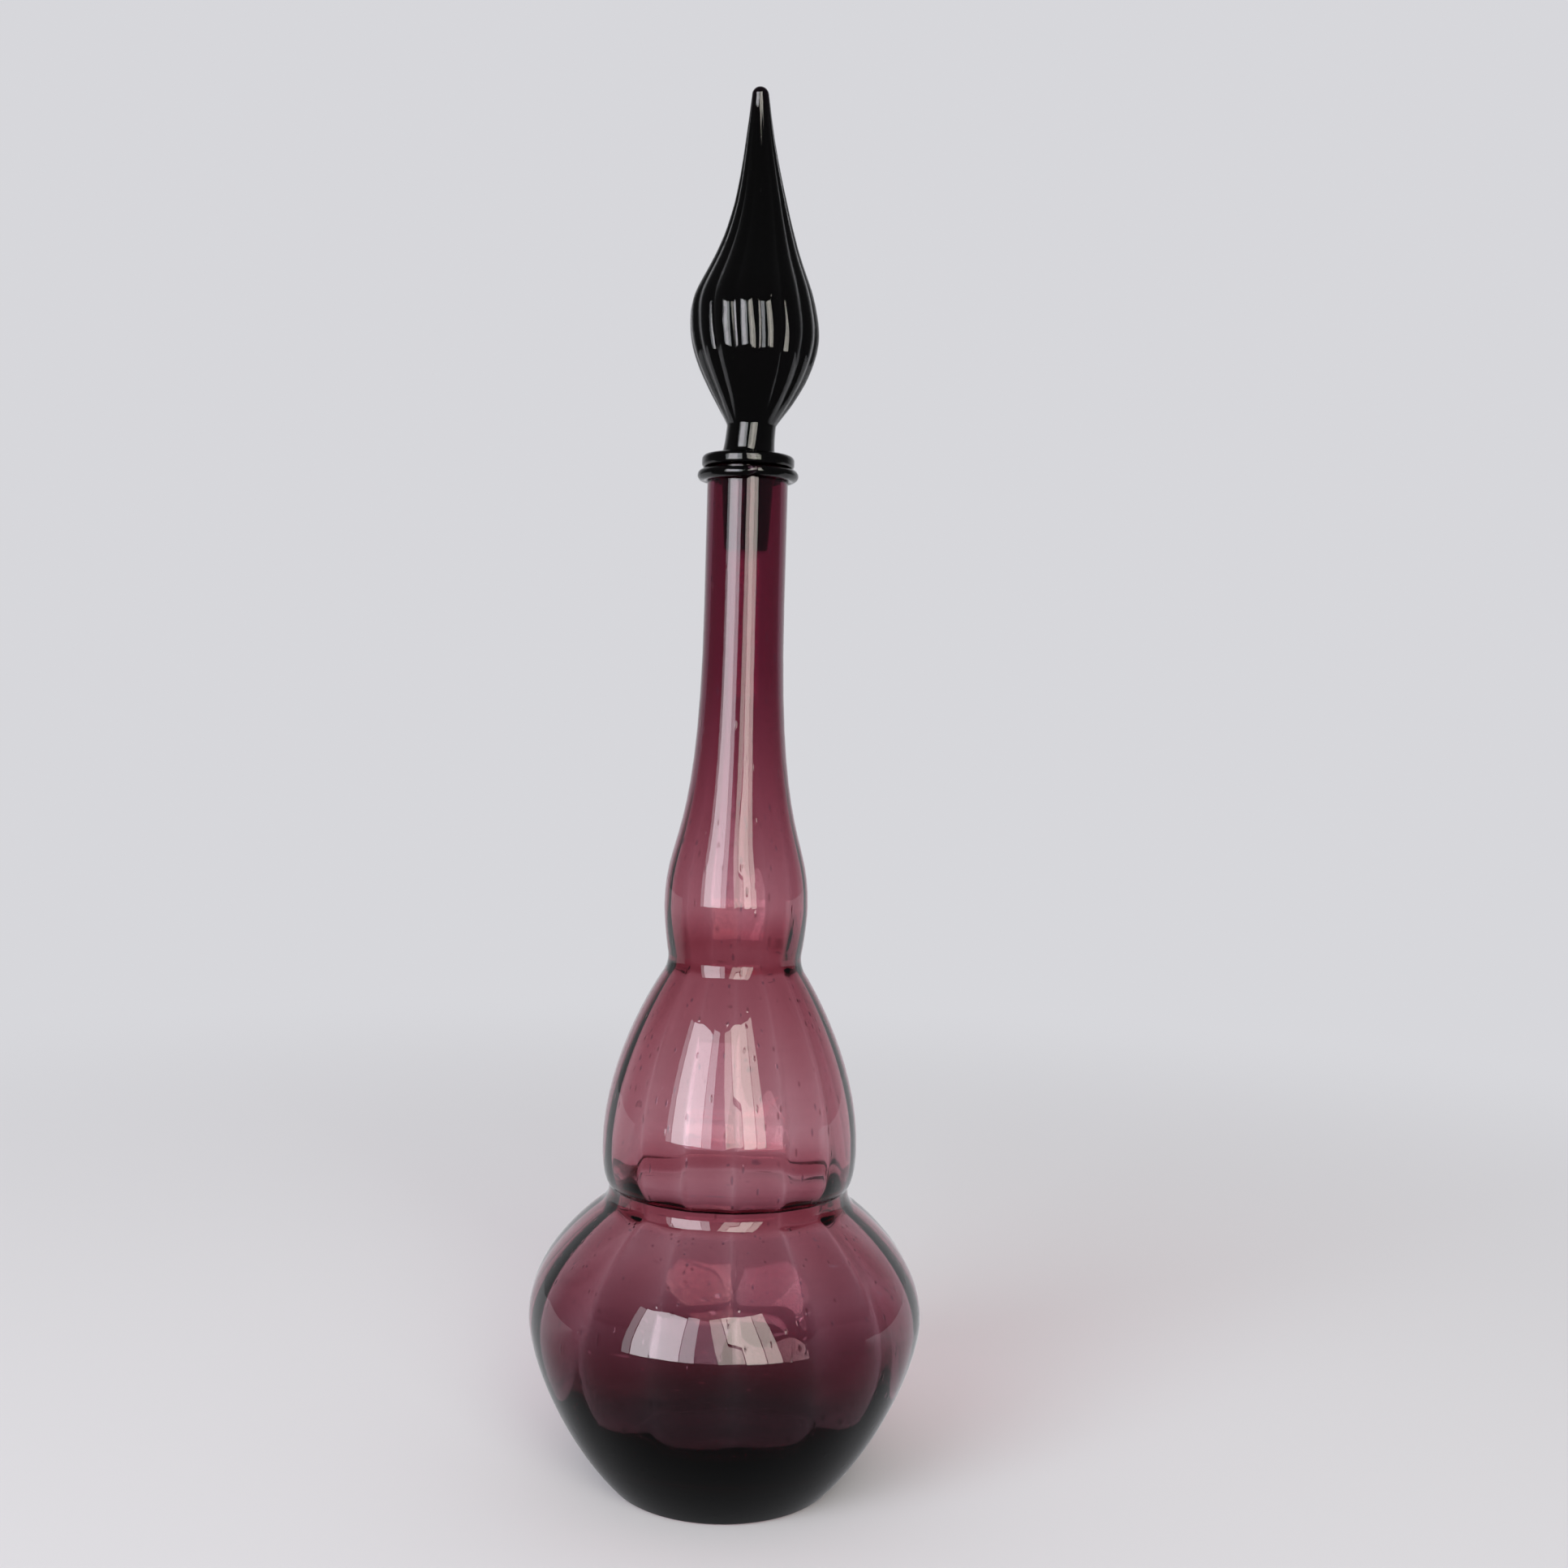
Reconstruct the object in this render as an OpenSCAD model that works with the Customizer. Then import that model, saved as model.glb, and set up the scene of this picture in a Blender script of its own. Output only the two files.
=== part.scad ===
// Tall blown-glass decanter with three bulges, a long neck, a lip ring laid
// round the mouth, and a ribbed flame stopper that stands loose in the neck.
// Millimetres, +Z up, origin on the axis at the level that the foot stands on.

/* [Low bulb] */
// Radius of the ring that the bottle stands on
foot_r = 42; // [34:0.5:48]
// Width of that ring
foot_band = 3; // [1:0.5:6]
// Radius that rounds the foot up into the flank
foot_round = 5; // [2:0.5:8]
// Angle at which the flank leaves the foot, in degrees
foot_angle = 46; // [35:1:58]
// Height of the push-up under the base
kick_h = 5; // [2:0.5:9]
// Largest radius of the low bulb
low_r = 79.4; // [65:0.1:95]
// Height of the low bulb's widest place above the foot
low_belly_h = 70; // [55:0.5:85]
// Rise from that place to the lower waist
low_shoulder_h = 50.5; // [40:0.5:64]
// Radius of the lower waist
low_waist_r = 48.5; // [40:0.1:50]
// Radius that hollows the lower waist out
low_waist_round = 9; // [5:0.5:12]

/* [Middle bulb] */
// Largest radius of the middle bulb
mid_r = 51.5; // [51:0.1:62]
// Rise from the lower waist to the middle bulb's widest place
mid_flank_h = 18; // [13:0.5:28]
// Rise from that place to the upper waist
mid_shoulder_h = 75.5; // [57:0.5:92]
// Radius of the upper waist
top_waist_r = 26.9; // [22:0.1:28]
// Radius that hollows the upper waist out
top_waist_round = 12; // [6:0.5:16]

/* [Top bulge] */
// Largest radius of the slim top bulge
top_r = 29; // [28.6:0.1:36]
// Rise from the upper waist to the top bulge's widest place
top_flank_h = 21; // [15:0.5:30]
// Rise over which the top bulge sweeps into the neck
neck_sweep_h = 120; // [90:1:150]

/* [Neck and mouth] */
// Outer radius of the straight neck
neck_r = 16.1; // [14:0.1:18]
// Length of the straight neck, up to the mouth
neck_h = 54.3; // [45:0.1:80]
// Radius that rounds the inner edge of the mouth
mouth_round = 1; // [0.5:0.1:1.5]
// How far the lip ring stands out from the neck
lip_out = 4.1; // [2.5:0.1:6]
// Height of the lip ring
lip_h = 5.4; // [4:0.1:9]
// Width of the flat on top of the lip ring
lip_flat = 1.6; // [0.8:0.1:2.4]

/* [Wall] */
// Thickness of the base above the push-up
base_t = 11; // [7:0.5:16]
// Wall at the foot
foot_wall = 5; // [3:0.1:8]
// Wall at the low bulb's widest place
low_wall = 1.7; // [1.2:0.1:6]
// Wall at the middle bulb's widest place
mid_wall = 1.5; // [1.2:0.1:5]
// Wall at the top bulge's widest place
top_wall = 1.8; // [1.2:0.1:3.5]
// Wall of the neck
neck_wall = 2.6; // [1.8:0.1:3.4]

/* [Stopper] */
// Radius of the stopper's disc
disc_r = 18.5; // [17:0.1:22]
// Thickness of the disc
disc_t = 5.5; // [4:0.1:8]
// Radius that rounds the edges of the disc
disc_round = 2; // [1:0.1:2]
// Radius of the collar that spreads onto the disc
collar_r = 11.3; // [11:0.1:15]
// Height of the stem's narrowest place above the disc
stem_h = 9.2; // [6:0.1:14]
// Radius of the stem
stem_r = 9.8; // [7:0.1:10.8]
// Rise from the stem to the widest place of the flame
flame_flank_h = 39.5; // [30:0.5:55]
// Largest radius of the flame, over the ribs
flame_r = 25.6; // [20:0.1:34]
// Rise from that place to the tip
flame_tip_h = 96.5; // [70:0.1:120]
// Radius of the rounded tip
tip_r = 3.2; // [2:0.1:5]
// Number of ribs round the flame
ribs = 16; // [12:2:20]
// Depth of the grooves between the ribs, as a share of the radius
rib_depth = 0.045; // [0.015:0.005:0.06]
// Wall of the flame
flame_wall = 4; // [2.5:0.1:6]

/* [Plug] */
// Length of the plug below the disc
plug_h = 32.6; // [25:0.5:50]
// Radius of the plug at its top
plug_r = 10.2; // [8:0.1:11]
// Radius of the plug at its foot
plug_foot_r = 8.8; // [7:0.1:10]
// Radius that rounds the plug's foot
plug_round = 1.8; // [1:0.1:4]
// Depth of the cove that spreads the plug out under the disc
cove_h = 7; // [4:0.1:10]
// Clearance between the cove's wide end and the mouth
mouth_gap = 0.6; // [0.4:0.1:1.5]

/* [Hidden] */
$fn = 96;

amethyst = [0.42, 0.16, 0.27, 0.75];
dark_amethyst = [0.13, 0.05, 0.12];

// Steps along one curve of an outline, and along an arc
curve_steps = 8;
flank_steps = 10;
taper_steps = 18;
arc_steps = 4;

// Heights of the named places above the foot
low_waist_z = low_belly_h + low_shoulder_h;
mid_belly_z = low_waist_z + mid_flank_h;
top_waist_z = mid_belly_z + mid_shoulder_h;
top_belly_z = top_waist_z + top_flank_h;
neck_z = top_belly_z + neck_sweep_h;
mouth_z = neck_z + neck_h;
disc_top_z = mouth_z + disc_t;
stem_z = disc_top_z + stem_h;
flame_z = stem_z + flame_flank_h;
tip_z = flame_z + flame_tip_h;
plug_foot_z = mouth_z - plug_h;

// How far each curve runs on along its tangent, as a share of its height
foot_run = 0.38;
low_under_run = 0.22;
low_over_run = 0.54;
low_waist_under_run = 0.045;
low_waist_over_run = 0.05;
mid_under_run = 0.8;
mid_over_run = 0.465;
top_waist_under_run = 0.1;
top_waist_over_run = 0.15;
top_under_run = 0.31;
top_over_run = 0.25;
neck_run = 0.81;
kick_run = 0.5;
stem_run = 0.05;
flame_under_run = 0.46;
flame_over_run = 0.256;
tip_run = 0.8;
collar_run = 0.6;
cove_run = 0.45;

// Lean of the side from upright where it enters and leaves each waist's hollow
low_waist_under = 52;
low_waist_over = 12;
top_waist_under = 33.5;
top_waist_over = 10.5;

// Slope of the flame's side where it meets the tip, mm out for each mm down
tip_slope = 0.12;

function bezier(p0, p1, p2, p3, steps = curve_steps) = [
    for (i = [1:steps]) let (t = i / steps, s = 1 - t)
        s * s * s * p0 + 3 * s * s * t * p1 + 3 * s * t * t * p2 + t * t * t * p3
];

// A curve from one [radius, height] to another that stands upright at both ends
function upright(p0, run0, p1, run1) = let (rise = p1.y - p0.y)
    bezier(p0, p0 + [0, run0 * rise], p1 - [0, run1 * rise], p1);

function arc(centre, r, from, to, steps = arc_steps) = [
    for (i = [0:steps]) let (a = from + (to - from) * i / steps) centre + r * [cos(a), sin(a)]
];

function unit(v) = v / norm(v);

function without_first(points) = [for (i = [1:len(points) - 1]) points[i]];

// The way up a side that leans in by an angle
function leaning(a) = [-sin(a), cos(a)];

// The hollow of a waist: it leaves the lower side at one lean and meets the upper side at another
function hollow(waist, r, under, over) = arc(waist + [r, 0], r, 180 + under, 180 - over);

// From a belly up to a hollow, the hollow itself, and on up to the next belly
function waisted(lower, lower_run, waist, r, under, under_run, over, over_run, upper, upper_run) =
    let (
        round = hollow(waist, r, under, over),
        start = round[0],
        end = round[len(round) - 1],
        rise_in = start.y - lower.y,
        rise_out = upper.y - end.y
    ) concat(
        bezier(lower, lower + [0, lower_run * rise_in],
               start - under_run * rise_in * leaning(under), start),
        without_first(round),
        bezier(end, end + over_run * rise_out * leaning(-over),
               upper - [0, upper_run * rise_out], upper)
    );

// --- Bottle ---

foot_arc = arc([foot_r, foot_round], foot_round, -90, foot_angle - 90);
flank_start = foot_arc[len(foot_arc) - 1];
flank_dir = [cos(foot_angle), sin(foot_angle)];
low_belly = [low_r, low_belly_h];
low_waist = [low_waist_r, low_waist_z];
mid_belly = [mid_r, mid_belly_z];
top_waist = [top_waist_r, top_waist_z];
top_belly = [top_r, top_belly_z];
neck_foot = [neck_r, neck_z];

outside = concat(
    foot_arc,
    bezier(flank_start, flank_start + foot_run * norm(low_belly - flank_start) * flank_dir,
           low_belly - [0, low_under_run * low_belly_h], low_belly, flank_steps),
    waisted(low_belly, low_over_run,
            low_waist, low_waist_round, low_waist_under, low_waist_under_run,
            low_waist_over, low_waist_over_run, mid_belly, mid_under_run),
    waisted(mid_belly, mid_over_run,
            top_waist, top_waist_round, top_waist_under, top_waist_under_run,
            top_waist_over, top_waist_over_run, top_belly, top_under_run),
    upright(top_belly, top_over_run, neck_foot, neck_run)
);

function wall_at(z) = lookup(z, [
    [0, foot_wall],
    [low_belly_h, low_wall],
    [mid_belly_z, mid_wall],
    [top_belly_z, top_wall],
    [neck_z, neck_wall]
]);

// The outside, moved in by the wall along its own normal
function inward(i) = let (
    along = unit(outside[min(i + 1, len(outside) - 1)] - outside[max(i - 1, 0)])
) outside[i] + wall_at(outside[i].y) * [-along.y, along.x];

floor_z = kick_h + base_t;
inner_wall = [for (i = [0:len(outside) - 1]) let (p = inward(i)) if (p.y > floor_z) p];
floor_edge = inner_wall[0];
floor_dir = unit(inner_wall[1] - floor_edge);
floor_run = 0.6;
inner_floor = bezier([0, floor_z], [floor_run * floor_edge.x, floor_z],
                     floor_edge - (floor_edge.y - floor_z) / floor_dir.y * floor_dir, floor_edge);

bore_r = neck_r - neck_wall;
mouth_edge = arc([bore_r + mouth_round, mouth_z - mouth_round], mouth_round, 180, 90);

kick_edge = [foot_r - foot_band, 0];
kick_up = bezier(kick_edge, kick_edge + [-kick_run * kick_edge.x, kick_h],
                 [kick_run * kick_edge.x, kick_h], [0, kick_h]);

module bottle_body() {
    inside_up = concat(inner_floor, without_first(inner_wall));
    inside_down = [for (i = [len(inside_up) - 1:-1:0]) inside_up[i]];
    mouth_down = [for (i = [len(mouth_edge) - 1:-1:0]) mouth_edge[i]];
    color(amethyst)
        rotate_extrude()
            polygon(concat(outside, [[neck_r, mouth_z]], mouth_down, inside_down,
                           [[0, floor_z]], [[0, kick_h]],
                           [for (i = [len(kick_up) - 2:-1:0]) kick_up[i]], [kick_edge]));
}

// The ring is laid hot on the neck, so its bore is the neck itself
module lip_ring() {
    lip_r = neck_r + lip_out;
    top_round = lip_out - lip_flat;
    under_round = min(lip_h - top_round, lip_out);
    color(amethyst)
        rotate_extrude()
            polygon(concat(
                arc([lip_r - under_round, mouth_z - lip_h + under_round], under_round, -90, 0),
                arc([lip_r - top_round, mouth_z - top_round], top_round, 0, 90),
                [[neck_r, mouth_z], [neck_r, mouth_z - lip_h]]
            ));
}

// --- Stopper ---

disc_top = [collar_r, disc_top_z];
stem = [stem_r, stem_z];
flame_belly = [flame_r, flame_z];
tip_foot = [tip_r, tip_z - tip_r];

flame_side = concat(
    [disc_top],
    bezier(disc_top, disc_top - [collar_run * (collar_r - stem_r), 0],
           stem - [0, collar_run * stem_h], stem, arc_steps),
    upright(stem, stem_run, flame_belly, flame_under_run),
    bezier(flame_belly, flame_belly + [0, flame_over_run * flame_tip_h],
           tip_foot + tip_run * flame_tip_h * [tip_slope, -1], tip_foot, taper_steps),
    [for (a = [30, 60]) [tip_r * cos(a), tip_foot.y + tip_r * sin(a)]]
);

// The ribs start above the stem and die out on the drawn tip
function rib_fade(z) = lookup(z, [
    [stem_z, 0],
    [stem_z + flame_flank_h / 3, 1],
    [flame_z + flame_tip_h / 2, 1],
    [tip_foot.y, 0.2],
    [tip_z, 0]
]);
points_per_rib = 4;

// Round lobes that meet in grooves: 1 on a rib, 0 in a groove
function lobe(a) = abs(cos(ribs * a / 2));

module ribbed_skin(side) {
    around = ribs * points_per_rib;
    rings = len(side);
    skin = [for (p = side) for (k = [0:around - 1]) let (
        a = 360 * k / around,
        r = p.x * (1 - rib_depth * rib_fade(p.y) * (1 - lobe(a)))
    ) [r * cos(a), r * sin(a), p.y]];
    quads = [for (j = [0:rings - 2]) for (k = [0:around - 1]) let (next = (k + 1) % around)
        [j * around + k, (j + 1) * around + k, (j + 1) * around + next, j * around + next]];
    foot_cap = [[for (k = [0:around - 1]) k]];
    tip_cap = [for (k = [0:around - 1])
        [(rings - 1) * around + k, rings * around, (rings - 1) * around + (k + 1) % around]];
    polyhedron(concat(skin, [[0, 0, tip_z]]), concat(quads, foot_cap, tip_cap));
}

// The bubble blown inside the flame
bubble_foot_z = stem_z + 2 * flame_wall;
bubble_top_z = flame_z + flame_tip_h / 2;

module bubble() {
    foot = [0, bubble_foot_z];
    widest = [flame_r * (1 - rib_depth) - flame_wall, flame_z];
    top = [0, bubble_top_z];
    rise = flame_z - bubble_foot_z;
    fall = bubble_top_z - flame_z;
    rotate_extrude()
        polygon(concat(
            [foot],
            bezier(foot, foot + [widest.x / 2, 0], widest - [0, rise / 2], widest),
            bezier(widest, widest + [0, fall / 3], top + [widest.x / 6, -fall / 4], top)
        ));
}

module stopper_flame() {
    color(dark_amethyst)
        difference() {
            ribbed_skin(flame_side);
            bubble();
        }
}

module stopper_disc() {
    edge_r = disc_r - disc_round;
    color(dark_amethyst)
        translate([0, 0, mouth_z])
            rotate_extrude()
                polygon(concat(
                    [[0, 0]],
                    arc([edge_r, disc_round], disc_round, -90, 0),
                    arc([edge_r, disc_t - disc_round], disc_round, 0, 90),
                    [[0, disc_t]]
                ));
}

module stopper_plug() {
    cove_r = bore_r - mouth_gap;
    cove = [cove_r, mouth_z];
    plug_top = [plug_r, mouth_z - cove_h];
    corner = [plug_foot_r - plug_round, plug_foot_z + plug_round];
    color(dark_amethyst)
        rotate_extrude()
            polygon(concat(
                [[0, plug_foot_z]],
                arc(corner, plug_round, -90, 0),
                [plug_top],
                upright(plug_top, cove_run, cove, cove_run),
                [[0, mouth_z]]
            ));
}

bottle_body();
lip_ring();
stopper_flame();
stopper_disc();
stopper_plug();
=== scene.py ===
# %% [markdown]
# # A blown-glass decanter with a flame stopper
#
# A tall bottle of thin amethyst glass: three bulges, a long neck, a trail of
# glass laid round the mouth, and a nearly black stopper drawn out like a flame.
# The solids of the model are loaded first as a frame, and every piece that is
# made here stands where its solid stands.

# %% Open the frame
import math

import bpy
from mathutils import Matrix, Vector


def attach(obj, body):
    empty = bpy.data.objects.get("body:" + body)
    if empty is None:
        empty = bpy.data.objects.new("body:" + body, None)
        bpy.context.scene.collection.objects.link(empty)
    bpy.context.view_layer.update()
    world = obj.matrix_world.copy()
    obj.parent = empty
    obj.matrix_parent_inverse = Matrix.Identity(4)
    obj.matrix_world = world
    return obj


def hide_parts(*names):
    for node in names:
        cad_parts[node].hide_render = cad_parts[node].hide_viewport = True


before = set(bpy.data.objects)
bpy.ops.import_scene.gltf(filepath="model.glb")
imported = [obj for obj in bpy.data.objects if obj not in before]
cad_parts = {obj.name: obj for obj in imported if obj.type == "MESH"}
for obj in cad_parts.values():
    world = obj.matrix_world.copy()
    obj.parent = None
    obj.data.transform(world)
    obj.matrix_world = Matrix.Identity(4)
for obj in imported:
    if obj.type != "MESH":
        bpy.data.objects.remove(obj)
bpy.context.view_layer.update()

MM = 0.001
bpy.ops.object.select_all(action="DESELECT")

# %% [markdown]
# ## The camera
#
# It stands a little above the middle of the bottle, looks slightly down and is
# held slightly askew. A Track To constraint could aim it, but here its place and
# its two small turns are known, so they are given as numbers. A lens is given by
# how far it would stand from a film 36 mm wide, so it shows the same whatever
# the number of pixels.

# %% Set up the camera
CAMERA_AT = Vector((0.01795, -0.712, 0.3145))
CAMERA_DOWN = math.radians(2.44)
CAMERA_ROLL = math.radians(1.64)
LENS, FILM = 40.65, 36
UPRIGHT = math.radians(90)

bpy.ops.object.camera_add()
camera = bpy.context.object
camera.name = "camera"
camera.matrix_world = (
    Matrix.Translation(CAMERA_AT)
    @ Matrix.Rotation(UPRIGHT - CAMERA_DOWN, 4, "X")
    @ Matrix.Rotation(CAMERA_ROLL, 4, "Z")
)
camera.data.lens = LENS
camera.data.sensor_width = FILM
camera.data.sensor_fit = "HORIZONTAL"
bpy.context.scene.camera = camera
print("camera at, m:", list(CAMERA_AT))

# %% [markdown]
# ## Lines to turn
#
# All the pieces are round, so each starts as half an outline. A cylinder could
# be widened and narrowed ring by ring, but that leaves kinks and takes many
# numbers. A glassblower thinks in bellies and waists, the places where the side
# stands upright, so an outline is a Bezier curve with a knot at each of them. A
# longer handle changes the swell between two knots and nothing else. The curve
# is made a mesh and spun about the upright axis.

# %% Knots of an outline
# How long a handle makes a quarter circle, as a share of its radius
QUARTER = 0.55


def knot(at, before=None, after=None):
    """A place on an outline, as (radius, height) in mm, with its two handles."""
    return {"at": at, "before": before or at, "after": after or at}


def upright_knot(at, run_before=0, run_after=0):
    """A knot where the side stands upright: its handles point straight down and up."""
    r, z = at
    return knot(at, (r, z - run_before), (r, z + run_after))


# %% Draw half an outline
def beside_axis(place):
    """A (radius, height) in mm as a point in m, to the right of the axis."""
    r, z = place
    return (r * MM, 0, z * MM)


def draw_outline(name, knots, steps):
    bpy.ops.curve.primitive_bezier_curve_add()
    line = bpy.context.object
    line.name = name
    line.data.resolution_u = steps
    points = line.data.splines[0].bezier_points
    points.add(len(knots) - len(points))
    for point, place in zip(points, knots):
        point.handle_left_type = point.handle_right_type = "FREE"
        point.co = beside_axis(place["at"])
        point.handle_left = beside_axis(place["before"])
        point.handle_right = beside_axis(place["after"])
    bpy.ops.object.convert(target="MESH")
    return bpy.context.object


# %% Spin it
# Points that lie closer than this are welded
WELD = 0.004 * MM


def weld():
    """In edit mode, makes double points one and turns all faces outwards."""
    bpy.ops.mesh.select_all(action="SELECT")
    bpy.ops.mesh.remove_doubles(threshold=WELD)
    bpy.ops.mesh.normals_make_consistent(inside=False)


def spin_outline(line, around):
    bpy.ops.object.mode_set(mode="EDIT")
    bpy.ops.mesh.select_all(action="SELECT")
    bpy.ops.mesh.spin(steps=around, angle=2 * math.pi, center=(0, 0, 0), axis=(0, 0, 1))
    weld()
    bpy.ops.object.mode_set(mode="OBJECT")
    return line


# %% [markdown]
# ## Ribs
#
# Before it is blown out, the glass is pushed into a ribbed mould. The ribs stay
# in the wall as sixteen soft lobes that meet in sharp grooves. One rib could be
# modelled and repeated round the axis, but then each join would have to be
# hidden. Here a vertex group holds how deep the groove is at each point, and a
# Displace modifier presses it in, so the piece stays whole and the ribs can fade
# with the height. The points of a spun piece fall exactly on the grooves, so the
# piece is turned to its place only afterwards.

# %% Press sixteen ribs
RIBS = 16


def between(x, places):
    """A value read from a short list of (place, value), straight in between."""
    for (x0, y0), (x1, y1) in zip(places, places[1:]):
        if x <= x1:
            return y0 + (y1 - y0) * min(max((x - x0) / (x1 - x0), 0), 1)
    return places[-1][1]


def press_ribs(piece, depth, fade):
    """Presses grooves along the piece. depth is a share of the radius, fade goes by height."""
    widest = max(v.co.xy.length for v in piece.data.vertices)
    grooves = piece.vertex_groups.new(name="grooves")
    for v in piece.data.vertices:
        angle = math.atan2(v.co.y, v.co.x)
        groove = 1 - abs(math.cos(RIBS * angle / 2))
        share = v.co.xy.length / widest
        grooves.add([v.index], groove * share * between(v.co.z / MM, fade), "REPLACE")
    press = piece.modifiers.new("press", "DISPLACE")
    press.vertex_group = grooves.name
    press.mid_level = 0
    press.strength = -depth * widest
    bpy.context.view_layer.objects.active = piece
    bpy.ops.object.modifier_apply(modifier=press.name)
    piece.vertex_groups.clear()


# %% Pick up, turn, join and polish
def pick_up(pieces):
    """Selects these pieces and nothing else, with the first one active."""
    bpy.ops.object.select_all(action="DESELECT")
    for piece in pieces:
        piece.select_set(True)
    bpy.context.view_layer.objects.active = pieces[0]


def turn(piece, angle):
    pick_up([piece])
    piece.rotation_euler.z = angle
    bpy.ops.object.transform_apply(location=False, rotation=True, scale=False)


def join(pieces):
    """Makes the first piece and the others one object."""
    pick_up(pieces)
    bpy.ops.object.join()
    return bpy.context.object


def polish(piece, crease=40):
    """Shades the piece smooth, apart from edges with a steeper crease than this."""
    pick_up([piece])
    bpy.ops.object.shade_smooth_by_angle(angle=math.radians(crease))
    print(piece.name, len(piece.data.vertices), "points,", len(piece.data.polygons), "faces")
    return piece


# %% [markdown]
# ## The bottle's wall
#
# The outside line runs from the middle of the push-up, over the narrow foot
# ring and up to the mouth. Between the bellies, a tool has pinched the hot
# glass, so each waist is a small round hollow: the side enters it at one lean
# and leaves it at another. A Solidify modifier could make the wall, but a blown
# wall isn't even. So the inside is a line of its own: the same bellies and
# waists, each moved in by its own thickness of wall, and a thick flat floor.

# %% Sizes of the bottle
KICK_H = 5
FOOT_R, FOOT_BAND, FOOT_ROUND, FOOT_ANGLE = 42, 3, 5, math.radians(46)
LOW_BELLY, LOW_WAIST = (79.4, 70), (48.5, 120.5)
MID_BELLY, TOP_WAIST = (51.5, 138.5), (26.9, 214)
TOP_BELLY, NECK_FOOT, MOUTH = (29, 235), (16.1, 355), (16.1, 409.3)

# A pinch has one radius outside and another inside. Below it and above it, the
# side has a lean, and a handle that is a share of the rise to the next belly.
LOW_PINCH = {
    "outside": 9, "inside": 7,
    "under": (math.radians(52), 0.045), "over": (math.radians(12), 0.05),
}
TOP_PINCH = {
    "outside": 12, "inside": 6,
    "under": (math.radians(33.5), 0.1), "over": (math.radians(10.5), 0.15),
}

# How far the handles of each belly and of the neck run down and up, as a share
# of the rise to the next knot
LOW_SWELL, MID_SWELL, TOP_SWELL, NECK_RUN = (0.22, 0.54), (0.8, 0.465), (0.31, 0.25), 0.81


# %% Lead a side through a waist
def leaning(lean):
    """The way up a side that leans in by an angle."""
    return Vector((-math.sin(lean), math.cos(lean)))


def arc_handle(radius, angle):
    """How long a handle makes a Bezier curve run as an arc."""
    return 4 / 3 * math.tan(angle / 4) * radius


def pinched(below, waist, above, pinch, skin):
    """The three knots of a waist between two bellies, and the rises up to it and on from it."""
    radius = pinch[skin]
    waist = Vector(waist)

    def on_hollow(lean):
        return waist + radius * Vector((1 - math.cos(lean), -math.sin(lean)))

    (under, under_run), (over, over_run) = pinch["under"], pinch["over"]
    start, end = on_hollow(under), on_hollow(-over)
    rise_in, rise_out = start.y - below[1], above[1] - end.y
    way_in, way_out = leaning(under), leaning(-over)
    lower, upper = arc_handle(radius, under), arc_handle(radius, over)
    knots = [
        knot(start, start - under_run * rise_in * way_in, start + lower * way_in),
        upright_knot(waist, lower, upper),
        knot(end, end - upper * way_out, end + over_run * rise_out * way_out),
    ]
    return knots, rise_in, rise_out


# %% From belly to belly
def blown_side(walls, skin):
    """From the low belly up to the foot of the neck, moved in by the walls."""
    places = (LOW_BELLY, LOW_WAIST, MID_BELLY, TOP_WAIST, TOP_BELLY, NECK_FOOT)
    low, low_waist, mid, top_waist, top, neck = (
        (r - wall, z) for (r, z), wall in zip(places, walls)
    )
    low_knots, low_in, low_out = pinched(low, low_waist, mid, LOW_PINCH, skin)
    top_knots, top_in, top_out = pinched(mid, top_waist, top, TOP_PINCH, skin)
    sweep = neck[1] - top[1]
    return [
        upright_knot(low, LOW_SWELL[0] * low[1], LOW_SWELL[1] * low_in),
        *low_knots,
        upright_knot(mid, MID_SWELL[0] * low_out, MID_SWELL[1] * top_in),
        *top_knots,
        upright_knot(top, TOP_SWELL[0] * top_out, TOP_SWELL[1] * sweep),
        upright_knot(neck, NECK_RUN * sweep),
    ]


# %% The outside line
FLANK_RUN = 0.38
NO_WALLS = (0, 0, 0, 0, 0, 0)

foot_handle = arc_handle(FOOT_ROUND, FOOT_ANGLE)
flank_way = Vector((math.cos(FOOT_ANGLE), math.sin(FOOT_ANGLE)))
flank_start = Vector((
    FOOT_R + FOOT_ROUND * math.sin(FOOT_ANGLE),
    FOOT_ROUND - FOOT_ROUND * math.cos(FOOT_ANGLE),
))
flank_handle = FLANK_RUN * (Vector(LOW_BELLY) - flank_start).length
kick_edge = FOOT_R - FOOT_BAND

outside = [
    knot((0, KICK_H), after=(kick_edge / 2, KICK_H)),
    knot((kick_edge, 0), before=(kick_edge / 2, KICK_H)),
    knot((FOOT_R, 0), after=(FOOT_R + foot_handle, 0)),
    knot(
        flank_start,
        flank_start - foot_handle * flank_way,
        flank_start + flank_handle * flank_way,
    ),
    *blown_side(NO_WALLS, "outside"),
    knot(MOUTH),
]
print("outside line:", len(outside), "knots")

# %% The inside line
LOW_WALL, LOW_WAIST_WALL, MID_WALL = 1.7, 4.6, 1.5
TOP_WAIST_WALL, TOP_WALL, NECK_WALL = 4, 1.8, 2.6
WALLS = (LOW_WALL, LOW_WAIST_WALL, MID_WALL, TOP_WAIST_WALL, TOP_WALL, NECK_WALL)
MOUTH_ROUND = 1
# The glass is thickest at the corner, where the wall grows out of the base
BASE_T = 11
FLOOR_R, CORNER_RISE, CORNER_LEAN = 41, 0.8, math.radians(-70)
FLOOR_RUN, CORNER_BACK, CORNER_ON = 0.6, 4, 27

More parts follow.
